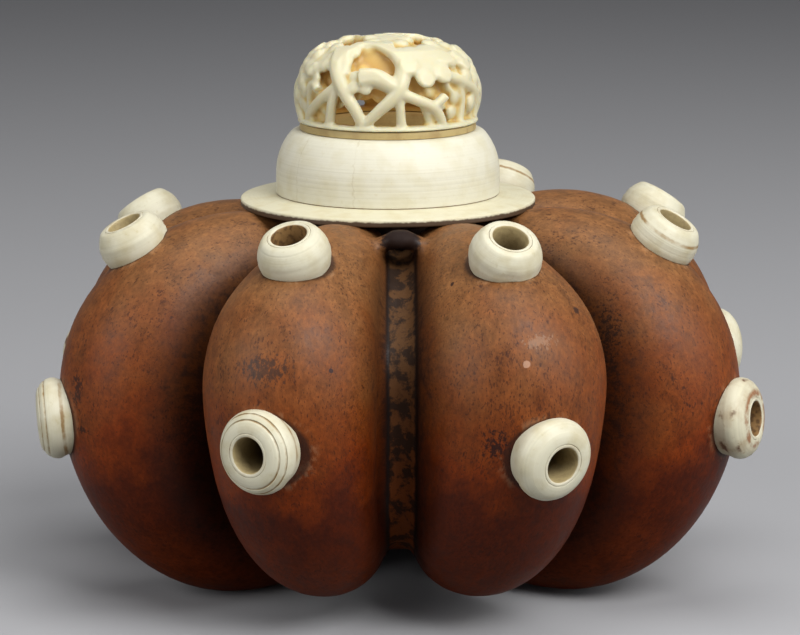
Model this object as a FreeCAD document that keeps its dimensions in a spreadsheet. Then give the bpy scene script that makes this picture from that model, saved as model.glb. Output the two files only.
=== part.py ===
import FreeCAD, Part
import math
import os

import Sketcher
from FreeCAD import Placement, Rotation, Vector

# A hollow, eight-lobed gourd cage, in millimetres. Z is up, the floor is z = 0 and the front is -Y.
# The gourd's own axis is the Z axis, and the neck stands a little to the left of it.

DOC = FreeCAD.newDocument("gourd_cage")
SHEET = DOC.addObject("Spreadsheet::Sheet", "sizes")

# Name, value and meaning of each driving dimension: millimetres, degrees or a plain ratio.
SIZES = [
    ("fan_radius", 27.15, "gourd axis to the line that each lobe's sections fan about"),
    ("lobe_reach", 29.75, "fan line to the lobe's crest at the widest height"),
    ("lobe_span", 125.0, "how far each lobe curls up and down from the widest height, degrees"),
    ("core_radius", 36.0, "gourd axis to the floor of the grooves at the widest height"),
    ("core_rise", 26.5, "half the height of the rounded core between the lobes"),
    ("core_height", 32.0, "height of the core's centre"),
    ("gourd_wall", 3.0, "thickness of the dried gourd's wall"),
    ("foot_wear", 0.3, "how much of each resting lobe is worn flat"),
    ("drill_depth", 6.6, "how far a vent's drilled hole goes in below its lobe's crest"),
    ("drill_length", 12.0, "whole length of the drill's cut"),
    ("mouth_radius", 12.5, "radius of the mouth cut in the top of the gourd"),
    ("neck_offset", -1.95, "neck axis from the gourd axis, along X"),
    ("disc_seat_height", 61.65, "height of the flat filed on the lobes for the disc"),
    ("disc_seat_clearance", 0.3, "gap between the disc's edge and the step of that flat"),
    ("disc_radius", 23.8, "outer radius of the neck disc"),
    ("disc_edge", 1.2, "thickness of the disc at its edge"),
    ("disc_rise", 0.7, "how much thicker the disc is under the collar"),
    ("glue_gap", 0.05, "radial room for glue round a spigot or a sleeve"),
    ("collar_radius", 18.05, "outer radius of the collar's drum"),
    ("collar_height", 10.35, "height of the collar above the disc"),
    ("collar_straight", 3.4, "height of the collar's straight side, below the shoulder"),
    ("collar_lip_radius", 15.2, "radius where the collar's shoulder meets its top"),
    ("collar_lip_round", 2.0, "rounding where the shoulder meets the collar's top"),
    ("spigot_length", 9.0, "how far the collar's spigot goes down through the disc"),
    ("spigot_wall", 1.4, "thickness of the spigot's wall"),
    ("plug_length", 6.0, "how far the lid's plug goes into the collar"),
    ("plug_gap", 0.06, "running clearance of the plug in the collar, radially"),
    ("lid_seat_gap", 0.05, "gap between the lid's step and the collar's top"),
    ("lid_bore_radius", 8.5, "radius of the hole through the lid ring"),
    ("step_radius", 14.2, "outer radius of the lid's step"),
    ("step_height", 1.15, "height of the lid's step"),
    ("rim_radius", 14.6, "outer radius of the carved dome's rim"),
    ("rim_width", 3.0, "width of that rim"),
    ("rim_height", 1.0, "height of that rim"),
    ("dome_radius", 14.9, "outer radius of the carving where it is widest"),
    ("dome_height", 13.9, "height of the carved dome over the lid's step"),
    ("dome_widest", 4.4, "height of its widest place over the lid's step"),
    ("dome_fullness", 2.3, "exponent of the dome's outline, where 2 is an ellipse"),
    ("stem_radius", 1.05, "radius of a carved stem at its root"),
    ("twig_radius", 0.85, "radius of a carved stem at its tip"),
    ("knuckle_swell", 1.08, "radius of a stem's knuckle over the stem's own"),
    ("blossom_radius", 4.1, "outer radius of a carved blossom"),
    ("crown_radius", 5.6, "outer radius of the blossom at the very top"),
    ("blossom_depth", 2.0, "thickness of a carved blossom"),
    ("blossom_notch", 0.86, "reach of the notch between two petals, over the blossom's radius"),
    ("blossom_inset", 0.3, "how far under the dome's outline a blossom's face is centred"),
    ("blossom_ring_height", 10.0, "height of the outer ring of blossoms over the lid's step"),
    ("blossom_ring_tilt", 40.0, "how far up the outer ring of blossoms faces"),
    ("crown_ring_height", 12.6, "height of the inner ring of blossoms over the lid's step"),
    ("crown_ring_tilt", 68.0, "how far up the inner ring of blossoms faces"),
    ("sleeve_radius", 3.3, "outer radius of a vent sleeve"),
    ("vent_bore_radius", 2.65, "radius of a vent's bore"),
    ("sleeve_lip", 0.35, "how far a sleeve stands out of its ring"),
    ("sleeve_reach", 1.0, "how far a sleeve comes through the gourd's wall"),
    ("ring_skirt", 3.8, "how far a ring reaches below the crest of its lobe"),
    ("upper_ring_base_radius", 5.3, "radius of an upper vent ring at its skirt"),
    ("upper_ring_belly_radius", 5.6, "radius of an upper vent ring where it is widest"),
    ("upper_ring_belly_height", 0.8, "height of that place over the lobe's crest"),
    ("upper_ring_lip_radius", 3.95, "radius of its flat front face"),
    ("upper_ring_height", 4.1, "height of an upper vent ring over the lobe's crest"),
    ("lower_ring_base_radius", 6.0, "radius of a lower vent ring at its skirt"),
    ("lower_ring_belly_radius", 6.4, "radius of a lower vent ring where it is widest"),
    ("lower_ring_belly_height", 0.6, "height of that place over the lobe's crest"),
    ("lower_ring_lip_radius", 4.2, "radius of its flat front face"),
    ("lower_ring_height", 3.4, "height of a lower vent ring over the lobe's crest"),
]

# Each lobe's azimuth from the front, the heights of its widest place, crest and foot, and its half
# width over its distance from the gourd's axis. A foot at 0 rests on the floor.
LOBE_KEYS = ("azimuth", "waist", "crest", "foot", "fullness")
LOBES = {
    "front_left": (-22.2, 42.3, 62.4, 3.9, 0.302),
    "left_front": (-68.9, 34.5, 61.9, 0.0, 0.330),
    "left_rear": (-112.0, 34.5, 60.6, 0.0, 0.330),
    "rear_left": (-157.5, 36.0, 61.0, 0.0, 0.330),
    "rear_right": (157.0, 36.0, 61.6, 0.0, 0.330),
    "right_rear": (111.5, 34.5, 62.3, 0.0, 0.330),
    "right_front": (68.6, 34.5, 62.6, 0.4, 0.330),
    "front_right": (23.2, 43.0, 62.3, 3.9, 0.338),
}

# Each lobe's upper and lower vent: the angle of its place above the lobe's widest height, the angle
# that it stands sideways of the crest, then how far its axis leans up and turns sideways from there.
VENT_KEYS = ("place", "side", "lean", "turn")
VENTS = {
    "front_left": {"upper": (48.5, 2.0, 16.0, -5.0), "lower": (-17.5, 4.0, 17.0, -15.0)},
    "left_front": {"upper": (53.5, -11.0, 10.0, 10.0), "lower": (-8.0, -9.0, 3.0, -7.0)},
    "left_rear": {"upper": (50.5, 0.0, 4.0, 0.0), "lower": (-5.0, -9.0, 3.0, -4.0)},
    "rear_left": {"upper": (52.0, -3.0, 6.0, 0.0), "lower": (-7.0, 0.0, 5.0, 4.0)},
    "rear_right": {"upper": (53.0, -4.0, 6.0, 0.0), "lower": (-4.0, -2.0, 2.0, -3.0)},
    "right_rear": {"upper": (51.5, 0.0, 4.0, 0.0), "lower": (-1.5, 0.0, 0.0, 0.0)},
    "right_front": {"upper": (54.8, 9.0, 4.0, -9.0), "lower": (-6.7, -4.0, 11.0, 0.0)},
    "front_right": {"upper": (47.0, -6.0, 12.0, 6.0), "lower": (-21.0, 0.0, 11.0, 11.0)},
}
ROWS = ("upper", "lower")

# Carved stems of one third of the dome: each point is an azimuth in degrees and a height over the rim,
# as a share of the dome's height. The back two thirds repeat the front one, turned.
STEM_TURNS = (0.0, 120.0, 240.0)
STEMS = [
    [(-17.0, -0.03), (-27.0, 0.30), (-34.0, 0.56), (-30.0, 0.76)],
    [(-17.0, -0.03), (-3.0, 0.32), (8.0, 0.50), (10.0, 0.76)],
    [(9.0, -0.03), (9.0, 0.28), (9.0, 0.52)],
    [(9.0, 0.46), (24.0, 0.36), (34.0, 0.24), (42.0, -0.03)],
    [(34.0, 0.20), (40.0, 0.34), (46.0, 0.46)],
    [(30.0, 0.74), (46.0, 0.62), (62.0, 0.50), (70.0, 0.24), (69.0, -0.03)],
    [(-43.0, -0.03), (-40.0, 0.28), (-33.0, 0.50)],
]
OUTER_BLOSSOMS = 8
INNER_BLOSSOMS = 5
PETALS = 5

# A lobe is drawn through this many round sections, and its hollow leaves out any section that would be
# thinner than this share of the wall. A round section's surface is drawn through eight corners.
LOBE_STATIONS = 11
SMALLEST_HOLLOW = 0.3
CORNERS_OF_SECTION = ((1, 0), (1, 1), (0, 1), (-1, 1), (-1, 0), (-1, -1), (0, -1), (1, -1), (1, 0))


def fill_sheet():
    """Put every driving dimension in the sheet, one row each."""
    rows = list(SIZES)
    for lobe, values in LOBES.items():
        for key, value in zip(LOBE_KEYS, values):
            rows.append((f"{lobe}_{key}", value, f"{key} of the {lobe} lobe"))
        for row in ROWS:
            for key, value in zip(VENT_KEYS, VENTS[lobe][row]):
                rows.append((f"{lobe}_{row}_{key}", value, f"{key} of the {row} vent on that lobe"))
    for number, (name, value, meaning) in enumerate(rows, 1):
        SHEET.set(f"A{number}", name)
        SHEET.set(f"B{number}", str(value))
        SHEET.set(f"C{number}", meaning)
        SHEET.setAlias(f"B{number}", name)
    DOC.recompute()


def size(name):
    """A driving dimension's number, read from the sheet."""
    return float(getattr(SHEET, name))


def worth(expression):
    """The number that an expression on the sheet's cells has now."""
    return float(SHEET.evalExpression(expression))


# Turned pieces -------------------------------------------------------------------------------------


def pin_point(sketch, geometry, end, radius, height):
    """Tie one point of an outline to expressions for its radius and its height."""
    for kind, expression in (("DistanceX", radius), ("DistanceY", height)):
        if expression is None:
            continue
        if expression == "0":
            sketch.addConstraint(Sketcher.Constraint("PointOnObject", geometry, end, -1))
            continue
        constraint = Sketcher.Constraint(kind, -1, 1, geometry, end, worth(expression))
        index = sketch.addConstraint(constraint)
        sketch.setExpression(f"Constraints[{index}]", expression)


def shoulder_arc(start, end):
    """Arc that leaves its start straight up and reaches its end, so its centre is level with the start."""
    inward = start.x - end.x
    climb = end.y - start.y
    radius = (inward ** 2 + climb ** 2) / (2 * inward)
    centre = Vector(start.x - radius, start.y, 0)
    circle = Part.Circle(centre, Vector(0, 0, 1), radius)
    return Part.ArcOfCircle(circle, 0, math.atan2(climb, end.x - centre.x))


def turned_body(label, corners, shoulder=None):
    """A turned ring. Corners are (radius, height) expressions, anticlockwise from the bore's foot.

    Shoulder is the number of the corner where the side turns into one round shoulder, which ends at
    the next corner.
    """
    body = DOC.addObject("PartDesign::Body", label)
    plane = next(part for part in body.Origin.OriginFeatures if part.Role == "XZ_Plane")
    sketch = body.newObject("Sketcher::SketchObject", label + "_outline")
    sketch.AttachmentSupport = [(plane, "")]
    sketch.MapMode = "FlatFace"
    places = [Vector(worth(radius), worth(height), 0) for radius, height in corners]
    following = list(range(1, len(corners))) + [0]
    for number, after in enumerate(following):
        if number == shoulder:
            sketch.addGeometry(shoulder_arc(places[number], places[after]))
        else:
            sketch.addGeometry(Part.LineSegment(places[number], places[after]))
    for number, after in enumerate(following):
        sketch.addConstraint(Sketcher.Constraint("Coincident", number, 2, after, 1))
    for number, (radius, height) in enumerate(corners):
        pin_point(sketch, number, 1, radius, height)
    if shoulder is not None:
        pin_point(sketch, shoulder, 3, None, corners[shoulder][1])
    turning = body.newObject("PartDesign::Revolution", label + "_turning")
    turning.Profile = sketch
    turning.ReferenceAxis = (sketch, ["V_Axis"])
    turning.Angle = 360
    DOC.recompute()
    return body


def round_edge(body, radius, height, rounding):
    """Round the circular edge at a given radius and height of a turned body."""
    before = body.Tip
    for number, edge in enumerate(before.Shape.Edges, 1):
        curve = edge.Curve
        if not isinstance(curve, Part.Circle):
            continue
        if abs(curve.Radius - radius) < 0.01 and abs(curve.Center.z - height) < 0.01:
            fillet = body.newObject("PartDesign::Fillet", body.Label + "_round")
            fillet.Base = (before, [f"Edge{number}"])
            fillet.setExpression("Radius", rounding)
            DOC.recompute()
            return
    raise ValueError(f"{body.Label} has no circle of radius {radius} at height {height}")


def make_neck_disc():
    """Flange disc that lies on the filed lobes, thicker under the collar than at its edge."""
    hole = "sizes.mouth_radius"
    corners = [
        (hole, "0"),
        ("sizes.disc_radius", "0"),
        ("sizes.disc_radius", "sizes.disc_edge"),
        ("sizes.collar_radius", "sizes.disc_edge + sizes.disc_rise"),
        (hole, "sizes.disc_edge + sizes.disc_rise"),
    ]
    body = turned_body("neck_disc", corners)
    body.setExpression("Placement.Base.x", "sizes.neck_offset")
    body.setExpression("Placement.Base.z", "sizes.disc_seat_height")
    return body


def make_neck_collar():
    """Drum collar with a rounded shoulder, and a spigot that goes through the disc into the mouth."""
    spigot = "(sizes.mouth_radius - sizes.glue_gap)"
    bore = f"({spigot} - sizes.spigot_wall)"
    top = "sizes.spigot_length + sizes.collar_height"
    corners = [
        (bore, "0"),
        (spigot, "0"),
        (spigot, "sizes.spigot_length"),
        ("sizes.collar_radius", "sizes.spigot_length"),
        ("sizes.collar_radius", "sizes.spigot_length + sizes.collar_straight"),
        ("sizes.collar_lip_radius", top),
        (bore, top),
    ]
    body = turned_body("neck_collar", corners, shoulder=4)
    round_edge(body, size("collar_lip_radius"), worth(top), "sizes.collar_lip_round")
    body.setExpression("Placement.Base.x", "sizes.neck_offset")
    foot = "sizes.disc_seat_height + sizes.disc_edge + sizes.disc_rise - sizes.spigot_length"
    body.setExpression("Placement.Base.z", foot)
    return body


def collar_top():
    """Height of the collar's top face."""
    return worth("sizes.disc_seat_height + sizes.disc_edge + sizes.disc_rise + sizes.collar_height")


def make_lid_ring():
    """Step ring that rests on the collar, with a hollow plug that slides in the collar's bore."""
    plug = "(sizes.mouth_radius - sizes.glue_gap - sizes.spigot_wall - sizes.plug_gap)"
    corners = [
        ("sizes.lid_bore_radius", "0"),
        (plug, "0"),
        (plug, "sizes.plug_length"),
        ("sizes.step_radius", "sizes.plug_length"),
        ("sizes.step_radius", "sizes.plug_length + sizes.step_height"),
        ("sizes.lid_bore_radius", "sizes.plug_length + sizes.step_height"),
    ]
    body = turned_body("lid_ring", corners)
    foot = collar_top() + size("lid_seat_gap") - size("plug_length")
    body.Placement = Placement(Vector(size("neck_offset"), 0, foot), Rotation())
    return body


# Tubes that swell and taper -----------------------------------------------------------------------


def tapered_tube(sections):
    """Closed solid through circular sections, each given as centre, first and second axis and radius."""
    columns = []
    spacing = [number / (len(sections) - 1) for number in range(len(sections))]
    for across, along in CORNERS_OF_SECTION:
        curve = Part.BSplineCurve()
        places = [centre + (first * across + second * along) * r for centre, first, second, r in sections]
        curve.interpolate(Points=places, Parameters=spacing)
        columns.append(curve)
    knots = columns[0].getKnots()
    weights = [[1.0 if across * along == 0 else math.sqrt(0.5)] * len(columns[0].getPoles())
               for across, along in CORNERS_OF_SECTION]
    side = Part.BSplineSurface()
    side.buildFromPolesMultsKnots(
        [curve.getPoles() for curve in columns], [3, 2, 2, 2, 3], columns[0].getMultiplicities(),
        [0, 0.25, 0.5, 0.75, 1], knots, False, False, 2, columns[0].Degree, weights)
    ends = [Part.Face(Part.Wire([side.vIso(knot).toShape()])) for knot in (knots[0], knots[-1])]
    shell = Part.makeShell([side.toShape()] + ends)
    shell.sewShape()
    solid = Part.makeSolid(Part.Shell(shell.Faces))
    if solid.Volume < 0:
        solid.reverse()
    return solid


# The gourd ----------------------------------------------------------------------------------------


def lobe_axes(lobe):
    """Outward and sideways directions of a lobe, seen from above."""
    azimuth = math.radians(size(lobe + "_azimuth"))
    outward = Vector(math.sin(azimuth), -math.cos(azimuth), 0)
    sideways = Vector(math.cos(azimuth), math.sin(azimuth), 0)
    return outward, sideways


def lobe_section(lobe, angle):
    """Centre, outward direction and radius of a lobe's round section at an angle above the widest."""
    turn = math.radians(angle)
    waist = size(lobe + "_waist")
    if angle >= 0:
        rise = size(lobe + "_crest") - waist
    else:
        rise = waist - size(lobe + "_foot") + size("foot_wear")
    reach = 1 / math.hypot(math.cos(turn) / size("lobe_reach"), math.sin(turn) / rise)
    fullness = size(lobe + "_fullness")
    from_axis = (size("fan_radius") + reach * math.cos(turn)) / (1 + fullness * math.cos(turn))
    radius = fullness * from_axis
    outward, _ = lobe_axes(lobe)
    direction = outward * math.cos(turn) + Vector(0, 0, math.sin(turn))
    fan_line = outward * size("fan_radius") + Vector(0, 0, waist)
    return fan_line + direction * (reach - radius), direction, radius


def lobe_solid(lobe, wall):
    """A lobe as one curled tube, or its hollow where a wall's thickness is given."""
    _, sideways = lobe_axes(lobe)
    span = size("lobe_span")
    sections = []
    for number in range(LOBE_STATIONS):
        angle = span * (2 * number / (LOBE_STATIONS - 1) - 1)
        centre, direction, radius = lobe_section(lobe, angle)
        if radius - wall > SMALLEST_HOLLOW * wall:
            sections.append((centre, direction, sideways, radius - wall))
    return tapered_tube(sections)


def add_solid(label, shape):
    """Keep a shape in the document under its own label."""
    feature = DOC.addObject("Part::Feature", label)
    feature.Shape = shape
    return feature


def make_core(label, inset):
    """Rounded body between the lobes, or its hollow."""
    core = DOC.addObject("Part::Ellipsoid", label)
    core.setExpression("Radius1", f"sizes.core_rise - {inset}")
    core.setExpression("Radius2", f"sizes.core_radius - {inset}")
    core.setExpression("Radius3", f"sizes.core_radius - {inset}")
    core.setExpression("Placement.Base.z", "sizes.core_height")
    return core


def add_cylinder(label, radius, height, foot=Vector(0, 0, 0), axis=Vector(0, 0, 1)):
    """Cylinder whose radius and height are expressions on the sheet's cells."""
    cylinder = DOC.addObject("Part::Cylinder", label)
    cylinder.setExpression("Radius", radius)
    cylinder.setExpression("Height", height)
    cylinder.Placement = Placement(foot, Rotation(Vector(0, 0, 1), axis))
    return cylinder


def fuse(label, shapes):
    """Join several objects into one."""
    joined = DOC.addObject("Part::MultiFuse", label)
    joined.Shapes = shapes
    joined.Refine = False
    return joined


def cut(label, base, tool):
    """Take one object away from another."""
    left = DOC.addObject("Part::Cut", label)
    left.Base = base
    left.Tool = tool
    left.Refine = False
    return left


def vent_axis(lobe, row):
    """Where a vent's axis comes out of its lobe, and which way it points."""
    place, side, lean, turn = (size(f"{lobe}_{row}_{key}") for key in VENT_KEYS)
    centre, direction, radius = lobe_section(lobe, place)
    outward, sideways = lobe_axes(lobe)
    across = math.radians(side)
    seat = centre + (direction * math.cos(across) + sideways * math.sin(across)) * radius
    raised = math.radians(place + lean)
    across = math.radians(side + turn)
    facing = outward * math.cos(raised) + Vector(0, 0, math.sin(raised))
    return seat, facing * math.cos(across) + sideways * math.sin(across)


def make_gourd_shell(lobes):
    """Hollow gourd with its mouth cut, a flat filed for the disc, worn feet and drilled vents."""
    form = fuse("gourd_form", [make_core("gourd_core", "0")] + list(lobes.values()))
    hollows = [add_solid(lobe + "_hollow", lobe_solid(lobe, size("gourd_wall"))) for lobe in LOBES]
    hollow = fuse("gourd_hollow", [make_core("gourd_core_hollow", "sizes.gourd_wall")] + hollows)
    neck = size("neck_offset")
    tall = "2 * sizes.core_rise"
    mouth = add_cylinder("mouth_cut", "sizes.mouth_radius", tall, Vector(neck, 0, size("core_height")))
    seat = add_cylinder("disc_seat_cut", "sizes.disc_radius + sizes.disc_seat_clearance", tall,
                        Vector(neck, 0, size("disc_seat_height")))
    floor = add_cylinder("floor_cut", "3 * sizes.core_radius", "sizes.core_height",
                         Vector(0, 0, -size("core_height")))
    drills = []
    for lobe in LOBES:
        for row in ROWS:
            place, axis = vent_axis(lobe, row)
            foot = place - axis * size("drill_depth")
            drills.append(add_cylinder(f"{row}_drill_{lobe}", "sizes.sleeve_radius + sizes.glue_gap",
                                       "sizes.drill_length", foot, axis))
    blank = cut("gourd_blank", form, hollow)
    return cut("gourd_shell", blank, fuse("gourd_cuts", [mouth, seat, floor] + drills))


def make_gourd_lobes(shell):
    """The gourd's shell in one solid for each lobe, parted in the middle of the grooves."""
    order = sorted(LOBES, key=lambda lobe: size(lobe + "_azimuth"))
    parts = []
    for number, lobe in enumerate(order):
        before, after = order[number - 1], order[(number + 1) % len(order)]
        start = f"(sizes.{before}_azimuth + sizes.{lobe}_azimuth) / 2"
        end = f"(sizes.{lobe}_azimuth + sizes.{after}_azimuth) / 2"
        if number == 0:
            start += " - 180"
        if number == len(order) - 1:
            end += " + 180"
        wedge = add_cylinder(f"{lobe}_wedge", "3 * sizes.core_radius", "3 * sizes.core_height")
        wedge.setExpression("Angle", f"{end} - ({start})")
        wedge.Placement = Placement(Vector(0, 0, 0), Rotation(Vector(0, 0, 1), worth(start) - 90))
        lobe_part = DOC.addObject("Part::Common", f"gourd_lobe_{lobe}")
        lobe_part.Base = shell
        lobe_part.Tool = wedge
        lobe_part.Refine = False
        parts.append(lobe_part)
    return parts


# The vents ----------------------------------------------------------------------------------------


def make_vent_ring(lobe, row, lobe_form):
    """Turned ring with a rounded shoulder, its back cut to the curve of the lobe it is glued on."""
    hole = "(sizes.sleeve_radius + sizes.glue_gap)"
    belly = f"sizes.{row}_ring_belly_radius"
    top = f"sizes.ring_skirt + sizes.{row}_ring_height"
    corners = [
        (hole, "0"),
        (f"sizes.{row}_ring_base_radius", "0"),
        (belly, f"sizes.ring_skirt + sizes.{row}_ring_belly_height"),
        (f"sizes.{row}_ring_lip_radius", top),
        (hole, top),
    ]
    blank = turned_body(f"{row}_vent_blank_{lobe}", corners, shoulder=2)
    place, axis = vent_axis(lobe, row)
    blank.Placement = Placement(place - axis * size("ring_skirt"), Rotation(Vector(0, 0, 1), axis))
    return cut(f"{row}_vent_ring_{lobe}", blank, lobe_form)


def make_vent_sleeve(lobe, row):
    """Thin bored tube through the ring and the gourd's wall."""
    length = f"sizes.sleeve_reach + sizes.gourd_wall + sizes.{row}_ring_height + sizes.sleeve_lip"
    corners = [
        ("sizes.vent_bore_radius", "0"),
        ("sizes.sleeve_radius", "0"),
        ("sizes.sleeve_radius", length),
        ("sizes.vent_bore_radius", length),
    ]
    sleeve = turned_body(f"{row}_vent_sleeve_{lobe}", corners)
    place, axis = vent_axis(lobe, row)
    depth = size("sleeve_reach") + size("gourd_wall")
    sleeve.Placement = Placement(place - axis * depth, Rotation(Vector(0, 0, 1), axis))
    return sleeve


# The carved dome ----------------------------------------------------------------------------------


def dome_point(azimuth, height, inset):
    """Point under the dome's outline, at a height over the lid's step and an inset from the outline."""
    widest = size("dome_widest")
    if height < widest:
        drop = (widest - height) / widest
        radius = size("dome_radius") - (size("dome_radius") - size("rim_radius")) * drop ** 2
    else:
        fullness = size("dome_fullness")
        climb = min((height - widest) / (size("dome_height") - widest), 1.0)
        radius = size("dome_radius") * (1 - climb ** fullness) ** (1 / fullness)
    turn = math.radians(azimuth)
    return Vector(math.sin(turn), -math.cos(turn), 0) * max(radius - inset, 0) + Vector(0, 0, height)


def stem_solids(points, turn):
    """One carved stem: tapering runs between points on the dome's outline, with a knuckle at each bend."""
    root = size("stem_radius")
    tip = size("twig_radius")
    rim = size("rim_height")
    solids = []
    below = None
    for number, (azimuth, share) in enumerate(points):
        height = rim + share * (size("dome_height") - rim)
        place = dome_point(azimuth + turn, height, root)
        radius = root + (tip - root) * number / (len(points) - 1)
        if below:
            start, start_radius = below
            run = place - start
            solids.append(Part.makeCone(start_radius, radius, run.Length, start, run))
        if 0 < number < len(points) - 1:
            solids.append(Part.makeSphere(size("knuckle_swell") * radius, place))
        below = (place, radius)
    return solids


def blossom_solid(centre, facing, radius):
    """Flat blossom with scalloped petals, let into the dome from its outline inwards."""
    notch = size("blossom_notch") * radius
    arcs = []
    for petal in range(PETALS):
        angles = [2 * math.pi * (petal + share) / PETALS for share in (0, 0.5, 1)]
        reach = (notch, radius, notch)
        ends = [Vector(r * math.cos(a), r * math.sin(a), 0) for r, a in zip(reach, angles)]
        arcs.append(Part.Arc(*ends).toShape())
    pad = Part.Face(Part.Wire(arcs)).extrude(Vector(0, 0, -size("blossom_depth")))
    pad.Placement = Placement(centre, Rotation(Vector(0, 0, 1), facing))
    return pad


def blossoms():
    """A ring of blossoms round the shoulder of the dome, a smaller ring above it and one on top."""
    solids = []
    rings = (
        (OUTER_BLOSSOMS, size("blossom_ring_height"), size("blossom_ring_tilt")),
        (INNER_BLOSSOMS, size("crown_ring_height"), size("crown_ring_tilt")),
    )
    for count, height, tilt in rings:
        for number in range(count):
            azimuth = 360 * (number + 0.5) / count
            turn = math.radians(azimuth)
            up = math.radians(tilt)
            outward = Vector(math.sin(turn), -math.cos(turn), 0)
            facing = outward * math.cos(up) + Vector(0, 0, math.sin(up))
            centre = dome_point(azimuth, height, size("blossom_inset"))
            solids.append(blossom_solid(centre, facing, size("blossom_radius")))
    top = Vector(0, 0, size("dome_height"))
    solids.append(blossom_solid(top, Vector(0, 0, 1), size("crown_radius")))
    return solids


def make_lid_dome():
    """Pierced dome: a rim, stems that fork upwards from it, and the crown of blossoms they carry."""
    inner = size("rim_radius") - size("rim_width")
    rim = Part.makeCylinder(size("rim_radius"), size("rim_height"))
    rim = rim.cut(Part.makeCylinder(inner, size("rim_height")))
    stems = [solid for turn in STEM_TURNS for points in STEMS for solid in stem_solids(points, turn)]
    carving = rim.multiFuse(stems + blossoms())
    roof = Part.makeCylinder(2 * size("rim_radius"), size("dome_height"))
    carving = carving.common(roof)
    dome = add_solid("lid_dome", carving)
    foot = collar_top() + size("lid_seat_gap") + size("step_height")
    dome.Placement = Placement(Vector(size("neck_offset"), 0, foot), Rotation())
    return dome


# Build, check and write ---------------------------------------------------------------------------


def check(parts):
    """Stop if any object failed, or a sub-part's shape is empty, broken or in more than one piece."""
    for thing in DOC.Objects:
        if "Invalid" in thing.State or "Error" in thing.State:
            raise ValueError(f"{thing.Label} failed: {thing.State}")
    for part in parts:
        if part.Shape.isNull() or not part.Shape.isValid() or len(part.Shape.Solids) != 1:
            raise ValueError(f"{part.Label} isn't one sound solid")


def main():
    fill_sheet()
    parts = [make_neck_disc(), make_neck_collar(), make_lid_ring(), make_lid_dome()]
    lobes = {lobe: add_solid(lobe + "_lobe", lobe_solid(lobe, 0)) for lobe in LOBES}
    for row in ROWS:
        for lobe, lobe_form in lobes.items():
            parts.append(make_vent_ring(lobe, row, lobe_form))
            parts.append(make_vent_sleeve(lobe, row))
    parts += make_gourd_lobes(make_gourd_shell(lobes))
    DOC.recompute()
    check(parts)
    os.makedirs("parts", exist_ok=True)
    for part in parts:
        part.Shape.exportStep(f"parts/{part.Label}.step")
        print(part.Label, round(part.Shape.Volume, 1))


main()
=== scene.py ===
import math

import bpy
import numpy as np
from mathutils import Matrix, Vector


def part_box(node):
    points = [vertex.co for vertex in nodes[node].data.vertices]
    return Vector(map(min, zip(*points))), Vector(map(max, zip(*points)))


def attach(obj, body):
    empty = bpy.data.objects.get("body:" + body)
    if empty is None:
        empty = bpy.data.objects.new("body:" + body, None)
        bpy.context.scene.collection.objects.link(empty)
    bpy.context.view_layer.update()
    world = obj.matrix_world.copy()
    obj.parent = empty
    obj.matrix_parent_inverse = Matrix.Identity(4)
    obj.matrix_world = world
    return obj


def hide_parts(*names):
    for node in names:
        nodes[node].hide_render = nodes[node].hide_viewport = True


# A lobed gourd cage with turned bone vents, neck and a pierced carved lid. Metres, as the CAD frame.

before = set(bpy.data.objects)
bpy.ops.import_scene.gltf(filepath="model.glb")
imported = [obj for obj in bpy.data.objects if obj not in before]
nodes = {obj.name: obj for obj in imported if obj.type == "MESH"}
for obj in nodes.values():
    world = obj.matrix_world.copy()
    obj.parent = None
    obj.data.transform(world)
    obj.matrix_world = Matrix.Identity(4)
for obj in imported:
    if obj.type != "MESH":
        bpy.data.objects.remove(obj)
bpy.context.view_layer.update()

MM = 0.001

# Points closer than this are one point.
WELD = 0.002 * MM

# Edges sharper than this are rounded, on the CAD nodes and on what is turned here, and faces that meet
# at less than the last angle are shaded as one.
SOLID_EDGE = math.radians(35)
TURNED_EDGE = math.radians(28)
SHADED_AS_ONE = math.radians(50)

# How what a voxel grid has made is smoothed.
SMOOTHING = {"factor": 0.5, "iterations": 4}

# The neck and the lid stand a little to the left of the gourd's middle.
NECK_X = -1.95 * MM
STEP_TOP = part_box("lid_ring")[1].z

LOBES = ("front_left", "left_front", "left_rear", "rear_left",
         "rear_right", "right_rear", "right_front", "front_right")
ROWS = ("upper", "lower")


# Small helpers ------------------------------------------------------------------------------------


def linear(colour):
    """An sRGB hex colour as linear red, green, blue and alpha."""
    shares = [int(colour[i:i + 2], 16) / 255 for i in (1, 3, 5)]
    return [c / 12.92 if c <= 0.04045 else ((c + 0.055) / 1.055) ** 2.4 for c in shares] + [1.0]


def add(tree, kind, inputs=(), out=0, **settings):
    """Adds a shader node and gives one of its outputs. Inputs are values or other nodes' outputs, either
    in the order of the sockets or by a socket's name or number."""
    made = tree.nodes.new("ShaderNode" + kind)
    for name, value in settings.items():
        setattr(made, name, value)
    sockets = inputs if isinstance(inputs, dict) else dict(enumerate(inputs))
    for socket, value in sockets.items():
        if isinstance(value, bpy.types.NodeSocket):
            tree.links.new(value, made.inputs[socket])
        else:
            made.inputs[socket].default_value = value
    return made.outputs[out] if made.outputs else None


def new_material(name):
    """A node material with its Principled shader linked to the output."""
    material = bpy.data.materials.new(name)
    material.use_nodes = True
    tree = material.node_tree
    tree.nodes.clear()
    surface = add(tree, "BsdfPrincipled")
    add(tree, "OutputMaterial", {"Surface": surface})
    return material, tree, surface.node


def only(piece):
    """Select this piece alone and make it active."""
    bpy.ops.object.select_all(action="DESELECT")
    piece.select_set(True)
    bpy.context.view_layer.objects.active = piece


def apply_modifier(piece, kind, **settings):
    """Add one modifier with its settings and apply it."""
    only(piece)
    modifier = piece.modifiers.new(kind.lower(), kind)
    for name, value in settings.items():
        setattr(modifier, name, value)
    bpy.ops.object.modifier_apply(modifier=modifier.name)


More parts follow.
